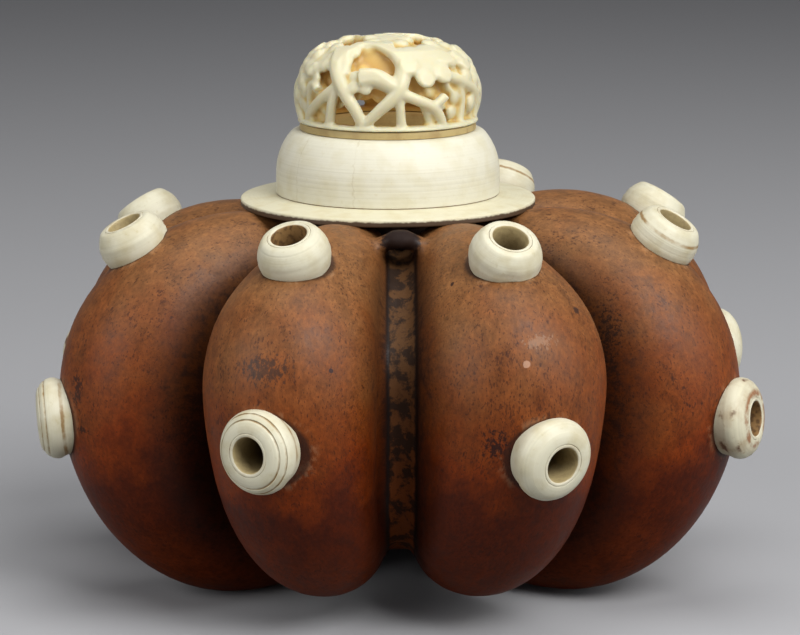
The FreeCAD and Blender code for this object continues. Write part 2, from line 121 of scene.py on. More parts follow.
def join(pieces, name):
    """Join pieces into one mesh."""
    bpy.ops.object.select_all(action="DESELECT")
    for piece in pieces:
        piece.select_set(True)
    bpy.context.view_layer.objects.active = pieces[0]
    bpy.ops.object.join()
    pieces[0].name = name
    return pieces[0]


def copy_of(name, *sources):
    """A merged copy of one or more CAD nodes, as one mesh that can be worked on."""
    copies = []
    for source in sources:
        piece = nodes[source].copy()
        piece.data = nodes[source].data.copy()
        piece.parent = None
        bpy.context.scene.collection.objects.link(piece)
        piece.data.materials.clear()
        copies.append(piece)
    piece = join(copies, name)
    only(piece)
    bpy.ops.object.mode_set(mode="EDIT")
    bpy.ops.mesh.select_all(action="SELECT")
    bpy.ops.mesh.remove_doubles(threshold=WELD)
    bpy.ops.object.mode_set(mode="OBJECT")
    return piece


def finish_piece(piece, material, body, slot, *replaced):
    """Give a piece its material, its body and the CAD nodes that it replaces. The slot is not used."""
    piece.data.materials.clear()
    piece.data.materials.append(material)
    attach(piece, body)
    if replaced:
        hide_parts(*replaced)


def put(piece, stand):
    """Move a piece to its stand and apply the move."""
    only(piece)
    piece.matrix_world = stand
    bpy.ops.object.transform_apply(location=True, rotation=True, scale=True)
    return piece


def points_of(piece):
    """All vertices of a piece as an array."""
    places = np.zeros(len(piece.data.vertices) * 3)
    piece.data.vertices.foreach_get("co", places)
    return places.reshape(-1, 3)


def store(piece, name, values):
    """Keep one number or one vector for each vertex as an attribute for the materials."""
    flat = np.asarray(values, float)
    kind, key = ("FLOAT", "value") if flat.ndim == 1 else ("FLOAT_VECTOR", "vector")
    attribute = piece.data.attributes.new(name, kind, "POINT")
    attribute.data.foreach_set(key, flat.reshape(-1))


# Camera and light ---------------------------------------------------------------------------------

# Where the camera stands, and how many degrees it looks down.
CAMERA_PLACE = (0.0, -0.51149, 0.1450)
CAMERA_TILT = 11.3

# Soft square lamps, all aimed at one point in the gourd: place, power in watts and width in metres.
LAMP_TARGET = Vector((0, 0, 0.04))
LAMPS = {
    "key_lamp": ((0.33, -0.48, 0.59), 5.3, 0.40),
    "top_lamp": ((0.02, -0.05, 0.84), 3.0, 0.55),
    "left_fill_lamp": ((-0.60, -0.44, 0.34), 2.9, 0.55),
    "right_fill_lamp": ((0.62, -0.30, 0.30), 2.3, 0.55),
}


def make_camera():
    """A long lens at the photograph's angle: level in roll, and tilted a little down."""
    data = bpy.data.cameras.new("camera")
    data.lens = 144.0
    data.sensor_width = 36.0
    data.clip_start = 0.05
    camera = bpy.data.objects.new("camera", data)
    camera.location = CAMERA_PLACE
    camera.rotation_euler = (math.radians(90 - CAMERA_TILT), 0, 0)
    bpy.context.scene.collection.objects.link(camera)
    bpy.context.scene.camera = camera
    bpy.context.scene.view_settings.view_transform = "Standard"


def make_lamps():
    """The studio's soft light."""
    for name, (place, power, width) in LAMPS.items():
        data = bpy.data.lights.new(name, "AREA")
        data.energy = power
        data.size = width
        lamp = bpy.data.objects.new(name, data)
        lamp.location = place
        lamp.rotation_euler = (LAMP_TARGET - Vector(place)).to_track_quat("-Z", "Y").to_euler()
        bpy.context.scene.collection.objects.link(lamp)


def seen_ray(tree):
    """One for a ray that shows the background: from the camera, off a gloss or through a clear thing."""
    ray = add(tree, "LightPath").node.outputs
    seen = add(tree, "Math", [ray["Is Camera Ray"], ray["Is Glossy Ray"]], operation="MAXIMUM")
    return add(tree, "Math", [seen, ray["Is Transmission Ray"]], operation="MAXIMUM")


def make_world():
    """Dim level light from all round, and a grey backdrop that the camera and the glosses see."""
    world = bpy.data.worlds.new("studio")
    bpy.context.scene.world = world
    world.use_nodes = True
    tree = world.node_tree
    tree.nodes.clear()
    dim = add(tree, "Background", {"Color": linear("#8c8c90"), "Strength": 0.35})
    backdrop = add(tree, "Background", {"Color": linear("#7e7e82"), "Strength": 1.0})
    add(tree, "OutputWorld", {"Surface": add(tree, "MixShader", [seen_ray(tree), dim, backdrop])})


def make_floor():
    """Pale level floor. It returns less light to the object than it shows to the camera."""
    bpy.ops.object.select_all(action="DESELECT")
    bpy.ops.mesh.primitive_plane_add(size=6.0)
    floor = bpy.context.object
    floor.name = "floor"
    material, tree, shader = new_material("matt_studio_paper")
    shader.inputs["Roughness"].default_value = 0.9
    shader.inputs["Specular IOR Level"].default_value = 0.1
    paper = add(tree, "Mix", {0: seen_ray(tree), 6: linear("#787878"), 7: linear("#a4a4a6")}, out=2,
                data_type="RGBA")
    tree.links.new(paper, shader.inputs["Base Color"])
    floor.data.materials.append(material)


make_camera()
make_lamps()
make_world()
make_floor()


# Materials ----------------------------------------------------------------------------------------

# Half the width of the channel's strip as it shows between the lobes, in millimetres.
STRIP_SHOWN = 2.15

# Noise in the skin, laid along the lobes: its size across a lobe and along it in millimetres, then its
# detail and roughness. The finest size is as fine as shows in the render.
SKIN_NOISES = {
    "mottle": (2.0, 3.2, 5.0, 0.7),
    "grain": (0.55, 0.9, 3.0, 0.7),
    "fine_flecks": (0.30, 0.6, 1.5, 0.5),
    "coarse_flecks": (0.6, 1.3, 1.5, 0.5),
}

# How high the noise has to be where there are most flecks and where there are fewest.
FLECK_GATES = {"fine_flecks": (0.55, 0.68), "coarse_flecks": (0.60, 0.73)}

# The skin's tone, from the red and dark foot of the gourd, its dark partly painted shade, up to its dusty
# brown shoulders, whose pale haze is partly a painted sheen.
SKIN_TONES_SHADE_AND_SHEEN = ((0.05, "#5f260c"), (0.20, "#4f1c05"), (0.32, "#491803"), (0.44, "#6d2b05"),
              (0.60, "#743810"), (0.80, "#75441f"), (0.98, "#7d532e"))

# Marks on the skin: place, then reach across and up, in millimetres, how broken its edge is, from 0 to
# 1, its strength and its colour.
SKIN_MARKS = {
    "pale_spot": ((18.6, -52.6, 46.3), (0.62, 0.62), 0.10, 0.55, "#c29a80"),
    "speck_cluster": ((14.1, -52.7, 34.2), (1.9, 1.9), 0.90, 0.9, "#250f0a"),
    "edge_chip": ((26.4, -43.5, 52.5), (0.75, 0.75), 0.35, 0.8, "#2b1a16"),
    "scuffs": ((20.6, -50.8, 49.3), (2.6, 0.9), 0.75, 0.35, "#a98468"),
    "soot": ((-19.8, -52.6, 45.4), (3.4, 1.9), 0.80, 0.7, "#33241d"),
    "left_streak": ((-50.3, -24.8, 36.2), (1.2, 2.6), 0.80, 0.8, "#26120c"),
    "left_dash": ((-49.6, -25.4, 30.0), (1.6, 0.5), 0.60, 0.8, "#26120c"),
    "dot": ((-10.1, -51.5, 45.1), (0.42, 0.42), 0.10, 0.9, "#2a1a1c"),
    "gum": ((0.1, -27.2, 60.2), (3.4, 2.1), 0.15, 0.97, "#1b0b05"),
    "shoulder_dot": ((7.8, -41.1, 56.1), (0.40, 0.40), 0.20, 0.9, "#2a1610"),
    "groove_soot": ((31.5, -27.5, 47.0), (2.2, 6.5), 0.95, 0.75, "#1c0e09"),
}

# The carving's tone, from cream on its raised forms to amber and brown right inside it: painted shade,
# deeper the further in.
CARVING_TONES_AND_SHADE = ((0.10, "#cbc5a6"), (0.22, "#cbbb85"), (0.36, "#c6a864"), (0.62, "#b89452"),
                 (0.95, "#a07c42"))

# The radius of a vent's bore in millimetres, and how strongly the lid's floor is given a painted glow, by
# emission, under the dome.
BORE_RADIUS = 2.65
PAINTED_FLOOR_GLOW = 0.36


def fill_ramp(ramp, tones):
    """Give a colour ramp its tones, each a position and a colour, in rising order."""
    marks = ramp.node.color_ramp.elements
    for mark, (position, colour) in zip(marks, (tones[0], tones[-1])):
        mark.position = position
        mark.color = linear(colour)
    for position, colour in tones[1:-1]:
        marks.new(position).color = linear(colour)


def gourd_skin_material():
    """Dried gourd skin, waxed and worn by handling: warm brown, red and dark below, partly painted
    shade, and paler above, partly a painted sheen, with dark flecks that run along the lobes, soot and
    painted shade down in the grooves, and a soft broken gloss."""
    material, tree, shader = new_material("dried_gourd_skin")
    place = add(tree, "TexCoord", out=3)
    mm = add(tree, "VectorMath", {0: place, 3: 1 / MM}, operation="SCALE")
    height = add(tree, "SeparateXYZ", [mm], out=2)
    way = add(tree, "Attribute", out=1, attribute_name="way")
    groove = add(tree, "Attribute", out=2, attribute_name="groove")
    strip = add(tree, "Attribute", out=2, attribute_name="strip")
    vent = add(tree, "Attribute", out=2, attribute_name="vent")
    noises = {}
    for name, (across, along, detail, roughness) in SKIN_NOISES.items():
        scaled = add(tree, "VectorMath", [way, (1 / across, 1 / along, 1 / across)], operation="MULTIPLY")
        noises[name] = add(tree, "TexNoise", {"Vector": scaled, "Scale": 1.0, "Detail": detail,
                                              "Roughness": roughness})
    mottle = noises["mottle"]
    grain = noises["grain"]

    # The tone rises with height, partly painted shade low down and partly a painted sheen high up, clouded
    # by patches 11 mm across, and is mottled and grained.
    cloud = add(tree, "TexNoise", {"Vector": mm, "Scale": 0.09, "Detail": 3.0, "Roughness": 0.6})
    cloud = add(tree, "Math", [cloud, 0.5], operation="SUBTRACT")
    rise = add(tree, "MapRange", [height, 4.0, 60.0, 0.0, 1.0])
    tone = add(tree, "Math", [cloud, 0.5, rise], operation="MULTIPLY_ADD")
    skin = add(tree, "ValToRGB", [tone])
    fill_ramp(skin, SKIN_TONES_SHADE_AND_SHEEN)
    patches = add(tree, "MapRange", [mottle, 0.3, 0.7, 0.64, 1.28])
    speckle = add(tree, "MapRange", [grain, 0.3, 0.7, 0.72, 1.20])
    shade = add(tree, "Math", [patches, speckle], operation="MULTIPLY")
    skin = add(tree, "VectorMath", {0: skin, 3: shade}, operation="SCALE")

    # What lies on the skin, with the painted shade in its grooves and at the vents, from the lowest layer
    # up: where it lies, and its colour.
    layers = []

    # Flecks, thick in drifts 8 mm across and scarce between them.
    drift = add(tree, "TexNoise", {"Vector": mm, "Scale": 0.12, "Detail": 4.0, "Roughness": 0.7})
    for name, (thick, scarce) in FLECK_GATES.items():
        gate = add(tree, "MapRange", [drift, 0.35, 0.68, scarce, thick])
        edge = add(tree, "Math", [gate, 0.05], operation="ADD")
        flecks = add(tree, "MapRange", [noises[name], gate, edge, 0.0, 0.55])
        layers.append((flecks, linear("#32150a")))

    # Staining and painted shade in the grooves, torn along its edge.
    ragged = add(tree, "Math", [mottle, 0.5], operation="SUBTRACT")
    torn = add(tree, "Math", [ragged, 1.6, groove], operation="MULTIPLY_ADD")
    groove_stain_and_shade = add(tree, "MapRange", [torn, 0.2, 0.95, 0.0, 0.92])
    layers.append((groove_stain_and_shade, linear("#1d0d07")))

    # The strip down the front channel: worn brown with soot on it, and a dark line at each side.
    off = add(tree, "Math", [strip], operation="ABSOLUTE")
    on_strip = add(tree, "MapRange", [off, STRIP_SHOWN - 0.25, STRIP_SHOWN, 1.0, 0.0])
    worn = add(tree, "MapRange", [height, 22.0, 44.0, 0.0, 1.0])
    worn = add(tree, "Mix", {0: worn, 6: linear("#6c3614"), 7: linear("#583a1e")}, out=2, data_type="RGBA")
    soot = add(tree, "TexNoise", {"Vector": mm, "Scale": 0.42, "Detail": 5.0, "Roughness": 0.65})
    soot = add(tree, "MapRange", [soot, 0.47, 0.56, 0.0, 0.88])
    worn = add(tree, "Mix", {0: soot, 6: worn, 7: linear("#20130b")}, out=2, data_type="RGBA")
    layers.append((on_strip, worn))
    edge = add(tree, "Math", [ragged, 0.9, off], operation="MULTIPLY_ADD")
    edge = add(tree, "Math", [edge, STRIP_SHOWN], operation="SUBTRACT")
    edge = add(tree, "Math", [edge], operation="ABSOLUTE")
    edge = add(tree, "MapRange", [edge, 0.12, 0.42, 0.85, 0.0])
    layers.append((edge, linear("#120906")))

    # Round each vent ring: a pale smear of old glue here and there, and a dark joint, partly painted
    # contact shade where the ring meets the skin.
    smear = add(tree, "MapRange", [vent, 0.4, 1.3, 1.0, 0.0])
    thin = add(tree, "MapRange", [mottle, 0.50, 0.60, 0.0, 0.20])
    smear = add(tree, "Math", [smear, thin], operation="MULTIPLY")
    layers.append((smear, linear("#b89a78")))
    joint_and_contact_shade = add(tree, "MapRange", [vent, 0.05, 0.5, 0.75, 0.0])
    layers.append((joint_and_contact_shade, linear("#24120a")))

    for middle, (wide, tall), broken, strength, tint in SKIN_MARKS.values():
        away = add(tree, "VectorMath", [mm, middle], operation="SUBTRACT")
        away = add(tree, "VectorMath", [away, (1 / wide, 1 / wide, 1 / tall)], operation="MULTIPLY")
        away = add(tree, "VectorMath", [away], out=1, operation="LENGTH")
        grit = add(tree, "MapRange", [grain, 0.35, 0.65, -broken, broken])
        away = add(tree, "Math", [away, grit], operation="ADD")
        soft = 0.15 + 0.5 * broken
        mark = add(tree, "MapRange", [away, 1.0 - soft, 1.0, strength, 0.0])
        layers.append((mark, linear(tint)))

    for mask, colour in layers:
        skin = add(tree, "Mix", {0: mask, 6: skin, 7: colour}, out=2, data_type="RGBA")
    tree.links.new(skin, shader.inputs["Base Color"])

    # The gloss is broken by the mottling, dulled on the strip, and fades to the dusty foot.
    dull = add(tree, "MapRange", [mottle, 0.3, 0.7, 0.42, 0.58])
    dull = add(tree, "Math", [on_strip, 0.25, dull], operation="MULTIPLY_ADD")
    tree.links.new(dull, shader.inputs["Roughness"])
    gloss = add(tree, "MapRange", [height, 6.0, 44.0, 0.04, 0.25])
    tree.links.new(gloss, shader.inputs["Specular IOR Level"])
    relief = add(tree, "Math", [grain, 0.35, mottle], operation="MULTIPLY_ADD")
    bump = add(tree, "Bump", {"Height": relief, "Strength": 0.35, "Distance": 0.16 * MM})
    tree.links.new(bump, shader.inputs["Normal"])
    return material


def bone_material(name, colour, stain_colour, roughness, bands=(), lines=(), cracks=(), bore=None,
                  inside=None):
    """Turned and polished bone: cream, with fine turning lines, brown in its pores and hair cracks.

    The piece's lathe coordinates, in millimetres, place the rest. A band colours it from one height to
    another, for stains and for painted shade: both heights, how soft its edge is, its strength and its
    colour. A line runs round it: its radius, its width, the pores' noise at which it fades in and is
    whole, and its colour. A crack runs up it at an azimuth. The bore has its colour and its grime, and
    painted shade that darkens it deeper in. Inside, given as the bore's radius, the rim's radius and the
    height of the face between them, it is given a painted glow by emission, for the light that comes
    through the thin carving over it.
    """
    material, tree, shader = new_material(name)
    lathe = add(tree, "Attribute", out=1, attribute_name="lathe")
    seed = add(tree, "Attribute", out=2, attribute_name="seed")
    across, back, height = add(tree, "SeparateXYZ", [lathe]).node.outputs
    flat = add(tree, "VectorMath", [lathe, (1.0, 1.0, 0.0)], operation="MULTIPLY")
    radius = add(tree, "VectorMath", [flat], out=1, operation="LENGTH")
    rings = add(tree, "CombineXYZ", {0: radius, 2: height})
    turning, pores, worn = (
        add(tree, "TexNoise", {"Vector": vector, "W": seed, "Scale": scale, "Detail": detail},
            noise_dimensions="4D")
        for vector, scale, detail in ((rings, 2.6, 3.0), (lathe, 0.35, 4.0), (lathe, 1.3, 4.0)))

    # Brown in the pores, clouded and spotted, then shaded by the turning lines.
    bone = linear(colour)
    clouds = add(tree, "MapRange", [pores, 0.45, 0.75, 0.0, 0.6])
    spots = add(tree, "MapRange", [worn, 0.62, 0.72, 0.0, 0.35])
    for mask in (clouds, spots):
        bone = add(tree, "Mix", {0: mask, 6: bone, 7: linear(stain_colour)}, out=2, data_type="RGBA")
    shade = add(tree, "MapRange", [turning, 0.3, 0.7, 0.955, 1.025])
    bone = add(tree, "VectorMath", {0: bone, 3: shade}, operation="SCALE")

    # What is laid over it, stains and painted shade, from the lowest layer up: where it lies, and its
    # colour.
    layers = []
    ragged = add(tree, "Math", [worn, 0.5], operation="SUBTRACT")
    for low, high, soft, strength, band_colour in bands:
        level = add(tree, "Math", [ragged, 2.5 * soft, height], operation="MULTIPLY_ADD")
        above = add(tree, "MapRange", [level, low - soft, low, 0.0, strength])
        below = add(tree, "MapRange", [level, high, high + soft, 1.0, 0.0])
        layers.append((add(tree, "Math", [above, below], operation="MULTIPLY"), band_colour))
    for line_radius, wide, low, high, line_colour in lines:
        off = add(tree, "Math", [ragged, wide, radius], operation="MULTIPLY_ADD")
        off = add(tree, "Math", [off, line_radius], operation="SUBTRACT")
        off = add(tree, "Math", [off], operation="ABSOLUTE")
        line = add(tree, "MapRange", [off, 0.4 * wide, wide, 1.0, 0.0])
        broken = add(tree, "MapRange", [pores, low, high, 0.0, 0.9])
        layers.append((add(tree, "Math", [line, broken], operation="MULTIPLY"), line_colour))
    front = add(tree, "Math", [back, -1.0], operation="MULTIPLY")
    azimuth = add(tree, "Math", [across, front], operation="ARCTAN2")
    azimuth = add(tree, "Math", [azimuth], operation="DEGREES")
    for crack in cracks:
        off = add(tree, "Math", [ragged, 5.0, azimuth], operation="MULTIPLY_ADD")
        off = add(tree, "Math", [off, crack], operation="SUBTRACT")
        off = add(tree, "Math", [off], operation="ABSOLUTE")
        line = add(tree, "MapRange", [off, 0.1, 0.55, 0.3, 0.0])
        broken = add(tree, "MapRange", [pores, 0.4, 0.55, 0.3, 1.0])
        layers.append((add(tree, "Math", [line, broken], operation="MULTIPLY"), "#a8996c"))
    if bore:
        bore_colour, grime = bore
        wall = add(tree, "Math", [ragged, 0.25, radius], operation="MULTIPLY_ADD")
        wall = add(tree, "MapRange", [wall, BORE_RADIUS + 0.11, BORE_RADIUS + 0.19, 1.0, 0.0])
        dirt = add(tree, "MapRange", [worn, 0.46, 0.60, 0.0, grime])
        dirt = add(tree, "Math", [wall, dirt], operation="MULTIPLY")
        # Painted shade: the bore is painted darker the deeper it goes.
        darker_deeper = add(tree, "MapRange", [height, -6.5, -1.0, 0.75, 0.0])
        deep_painted_shade = add(tree, "MapRange", [radius, BORE_RADIUS + 0.13, BORE_RADIUS + 0.15, 1.0, 0.0])
        deep_painted_shade = add(tree, "Math", [darker_deeper, deep_painted_shade], operation="MULTIPLY")
        layers += [(wall, bore_colour), (dirt, "#4a3018"), (deep_painted_shade, "#4a3520")]
    for mask, layer_colour in layers:
        bone = add(tree, "Mix", {0: mask, 6: bone, 7: linear(layer_colour)}, out=2, data_type="RGBA")

    # A painted glow, by emission, on the lid's floor under the dome and round its bore, for the light that
    # comes through the carving.
    if inside:
        lid_bore, rim_radius, face = inside
        under_dome = add(tree, "MapRange", [radius, rim_radius - 0.4, rim_radius, PAINTED_FLOOR_GLOW, 0.0])
        on_face = add(tree, "MapRange", [height, face - 0.15, face - 0.05, 0.0, 1.0])
        face_glow = add(tree, "Math", [under_dome, on_face], operation="MULTIPLY")
        bore_glow = add(tree, "MapRange", [radius, lid_bore + 0.1, lid_bore + 0.3, PAINTED_FLOOR_GLOW, 0.0])
        glow = add(tree, "Math", [face_glow, bore_glow], operation="MAXIMUM")
        tree.links.new(glow, shader.inputs["Emission Strength"])
        tree.links.new(bone, shader.inputs["Emission Color"])
    tree.links.new(bone, shader.inputs["Base Color"])
    shader.inputs["Roughness"].default_value = roughness
    shader.inputs["Specular IOR Level"].default_value = 0.4
    relief = add(tree, "Math", [worn, 0.5, turning], operation="MULTIPLY_ADD")
    bump = add(tree, "Bump", {"Height": relief, "Strength": 0.5, "Distance": 0.10 * MM})
    tree.links.new(bump, shader.inputs["Normal"])
    return material


def carved_bone_material():
    """Carved and polished bone: cream on the raised forms, with painted shade that turns it amber in the
    crevices and brown right inside.
    """
    material, tree, shader = new_material("carved_bone")
    place = add(tree, "TexCoord", out=3)
    mm = add(tree, "VectorMath", {0: place, 3: 1 / MM}, operation="SCALE")
    depth = add(tree, "Attribute", out=2, attribute_name="depth")
    hollow = add(tree, "Attribute", out=2, attribute_name="hollow")
    cloud = add(tree, "TexNoise", {"Vector": mm, "Scale": 0.45, "Detail": 4.0, "Roughness": 0.6})
    ragged = add(tree, "Math", [cloud, 0.5], operation="SUBTRACT")
    # Painted shade: the deeper and more hollow a point lies, the darker and more amber its colour.
    sunk = add(tree, "Math", [hollow, 5.0, depth], operation="MULTIPLY_ADD")
    sunk = add(tree, "Math", [ragged, 2.0, sunk], operation="MULTIPLY_ADD")
    sunk = add(tree, "MapRange", [sunk, 0.0, 6.0, 0.0, 1.0])
    bone = add(tree, "ValToRGB", [sunk])
    fill_ramp(bone, CARVING_TONES_AND_SHADE)
    tree.links.new(bone, shader.inputs["Base Color"])
    shader.inputs["Roughness"].default_value = 0.4
    shader.inputs["Specular IOR Level"].default_value = 0.45

    # A painted glow, by emission, for the light that comes through the thin walls and shows in the
    # crevices and right inside.
    glow = add(tree, "MapRange", [depth, 1.6, 6.0, 0.0, 0.42])
    tree.links.new(glow, shader.inputs["Emission Strength"])
    shader.inputs["Emission Color"].default_value = linear("#c89c58")
    shader.inputs["Subsurface Weight"].default_value = 0.6
    shader.inputs["Subsurface Radius"].default_value = (1.0, 0.75, 0.42)
    shader.inputs["Subsurface Scale"].default_value = 2.2 * MM
    bump = add(tree, "Bump", {"Height": cloud, "Strength": 0.15, "Distance": 0.1 * MM})
    tree.links.new(bump, shader.inputs["Normal"])
    return material


gourd_skin = gourd_skin_material()

# Bone, turned and polished: cream with a low sheen. The flange is dark underneath, partly a glue stain and
# partly painted shadow.
disc_bone = bone_material(
    "polished_bone_flange", "#cfc9ad", "#bfb185", 0.52, bands=((50.0, 62.35, 0.22, 0.95, "#3c220d"),))

# The drum is dark brown low down, under the flange, with a brown line round its foot, and has two hair
# cracks.
collar_bone = bone_material(
    "polished_bone_collar", "#d3cfbb", "#c6bd9a", 0.52, cracks=(-53, -17.4),
    bands=((50.0, 61.7, 0.1, 0.95, "#5a3d31"), (63.3, 63.68, 0.05, 0.85, "#6b4f2a")))

# The lid's step is tan, with a painted glow on its floor under the dome.
step_bone = bone_material("tan_bone_step", "#b5a06c", "#8a6a3e", 0.5,
                          inside=(8.5, 11.4, STEP_TOP / MM))
carved_bone = carved_bone_material()

# The vent rings have a brown seam round their sleeve. Some have brown in the lines that are cut in them,
# and two are stained in patches.
SEAM = (3.31, 0.07, 0.45, 0.6, "#7a5632")
plain_ring_bone = bone_material("turned_bone", "#cec9b1", "#b3a579", 0.48, lines=(SEAM,))
grooved_ring_bone = bone_material(
    "turned_bone_grooved", "#cec9b1", "#b3a579", 0.48,
    lines=(SEAM, (5.22, 0.14, 0.3, 0.55, "#8a6a3a"), (6.02, 0.12, 0.35, 0.6, "#8a6a3a")))
stained_ring_bone = bone_material(
    "turned_bone_stained", "#cac4aa", "#94703f", 0.46,
    lines=(SEAM, (4.1, 0.75, 0.42, 0.52, "#8b5b34"), (6.1, 0.25, 0.55, 0.62, "#5a3418")))

# The sleeves are bored and left rough inside, so they are darker there. Some are fibrous and brown.
bore_bone = bone_material("bored_bone", "#d0cab2", "#a99668", 0.5, bore=("#ab996e", 0.2))
fibrous_bore_bone = bone_material("bored_bone_fibrous", "#d0cab2", "#a99668", 0.6,
                                  bore=("#8a693e", 0.75))


# The gourd ----------------------------------------------------------------------------------------

# Azimuth in degrees and widest height in millimetres of each lobe.
LOBE_WAYS = {
    "front_left": (-22.2, 42.3), "left_front": (-68.9, 34.5), "left_rear": (-112.0, 34.5),
    "rear_left": (-157.5, 36.0), "rear_right": (157.0, 36.0), "right_rear": (111.5, 34.5),
    "right_front": (68.6, 34.5), "front_right": (23.2, 43.0),
}

# A lobe's section is round about a point this far from the gourd's axis, and its radius is about this.
SECTION_MIDDLE = 27.15
SECTION_RADIUS = 28.0

# How far the grain's noise is shifted from one lobe to the next, so that no two are alike.
LOBE_GRAIN_STEP = 40.0

# Where the grooves start to darken with stain and painted shade, and where they are darkest, in degrees
# from a lobe's crest.
GROOVE_START = 13.5
GROOVE_END = 20.0

# The front channel: its azimuth in degrees, and in millimetres how far the lobes are grown to close it,
# how wide the strip in it is, how deep the strip lies, and where its hidden back face is.
CHANNEL_TURN = 0.5
CHANNEL_GROWTH = 2.5
STRIP_WIDTH = 5.2
STRIP_DEPTH = 1.6
STRIP_BACK = -12.0

# The lump of dark gum at the channel's top, under the flange: a flattened ball.
GUM_PLACE = Vector((0.1, -26.0, 60.2)) * MM
GUM_RADIUS = 3.3
GUM_SHAPE = (1, 0.8, 0.5)

# The gourd's middle, which every vent points away from.
CHAMBER_MIDDLE = np.array((0, 0, 0.034))

# The radius of a vent ring where it meets the skin, and how far the vent's marks reach over the skin.
RING_FEET = {"upper": 5.35, "lower": 5.95}
VENT_REACH = 12.0

# Stands for far away where a point is near no vent or isn't in the front channel.
FAR = 60.0

# The voxel grid of each mesh that has one. It keeps the mesh under 200,000 triangles.
STRIP_GRID = 0.8
SKIN_GRID = 1.12
CARVING_GRID = 0.256


def bore_axis(lobe, row):
    """Foot and outward direction of a vent's bore, from the tube of its sleeve."""
    places = points_of(nodes[f"{row}_vent_sleeve_{lobe}"])
    middle = (places.max(axis=0) + places.min(axis=0)) / 2
    spread, ways = np.linalg.eigh(np.cov((places - middle).T))
    axis = ways[:, int(spread.argmax())]
    if axis @ (middle - CHAMBER_MIDDLE) < 0:
        axis = -axis
    reach = (places - middle) @ axis
    middle = middle + axis * (reach.max() + reach.min()) / 2
    tip = middle + axis * (reach.max() - reach.min()) / 2
    return Vector(tip), Vector(axis)


def mark_skin(piece):
    """Keep for each point of the skin, in millimetres: its way over its lobe, how far across the front
    channel it is and how far from a vent ring. Groove says how deep in a groove it is, from 0 to 1."""
    mm = points_of(piece) / MM
    azimuth = np.degrees(np.arctan2(mm[:, 0], -mm[:, 1]))
    crests, waists = np.array(list(LOBE_WAYS.values())).T
    apart = (azimuth[:, None] - crests[None, :] + 180) % 360 - 180
    nearest = np.abs(apart).argmin(axis=1)
    off = np.radians(apart[np.arange(len(mm)), nearest])
    rho = np.hypot(mm[:, 0], mm[:, 1])
    up = mm[:, 2] - waists[nearest]
    out = rho * np.cos(off) - SECTION_MIDDLE
    along = np.arctan2(up, out) * SECTION_RADIUS
    own_grain = np.hypot(out, up) + LOBE_GRAIN_STEP * nearest
    store(piece, "way", np.stack([rho * np.sin(off), along, own_grain], axis=1))
    depth = (np.abs(np.degrees(off)) - GROOVE_START) / (GROOVE_END - GROOVE_START)
    store(piece, "groove", np.clip(depth, 0, 1))
    across = rho * np.sin(np.radians(azimuth - CHANNEL_TURN))
    store(piece, "strip", np.where(mm[:, 1] < 0, across, FAR))
    gaps = np.full(len(mm), FAR)
    for row in ROWS:
        for lobe in LOBES:
            tip, axis = (np.array(v) for v in bore_axis(lobe, row))
            reach = mm - tip / MM
            wide = np.linalg.norm(np.cross(reach, axis), axis=1)
            level = np.abs(reach @ axis)
            gaps = np.where(level < VENT_REACH, np.minimum(gaps, wide - RING_FEET[row]), gaps)
    store(piece, "vent", gaps)


def channel_strip(lobes):
    """The strip that fills the front channel to just under the lobes: the gourd grown until the channel
    closes, shrunk again, and cut down to what lies in the channel."""
    strip = copy_of("channel_strip", *lobes)
    for growth in (CHANNEL_GROWTH, -CHANNEL_GROWTH - STRIP_DEPTH):
        apply_modifier(strip, "REMESH", mode="VOXEL", voxel_size=STRIP_GRID * MM, adaptivity=0.0)
        apply_modifier(strip, "DISPLACE", strength=growth * MM, mid_level=0.0, direction="NORMAL")
    only(strip)
    bpy.ops.object.mode_set(mode="EDIT")
    turn = math.radians(CHANNEL_TURN)
    side = Vector((math.cos(turn), math.sin(turn), 0))
    back = Vector((-side.y, side.x, 0))
    for way, reach in ((side, STRIP_WIDTH / 2), (-side, STRIP_WIDTH / 2), (back, STRIP_BACK)):
        bpy.ops.mesh.select_all(action="SELECT")
        bpy.ops.mesh.bisect(plane_co=reach * MM * way, plane_no=way, use_fill=True, clear_outer=True)
    bpy.ops.object.mode_set(mode="OBJECT")
    return strip


def make_gourd():
    """The gourd's skin: the solids' own form as one skin, with the strip and the gum in its front channel
    and the sharp creases between its lobes grown soft."""
    lobes = [node for node in nodes if node.startswith("gourd_")]
    bpy.ops.object.select_all(action="DESELECT")
    bpy.ops.mesh.primitive_uv_sphere_add(radius=GUM_RADIUS * MM, scale=GUM_SHAPE)
    gum = put(bpy.context.object, Matrix.Translation(GUM_PLACE))
    piece = join([copy_of("shell", *lobes), channel_strip(lobes), gum], "gourd_skin")
    apply_modifier(piece, "REMESH", mode="VOXEL", voxel_size=SKIN_GRID * MM, adaptivity=0.0)
    apply_modifier(piece, "SMOOTH", **SMOOTHING)
    only(piece)
    bpy.ops.object.shade_smooth()
    mark_skin(piece)
    finish_piece(piece, gourd_skin, "cage", "gourd_shell", *lobes)


make_gourd()


# Turned bone --------------------------------------------------------------------------------------


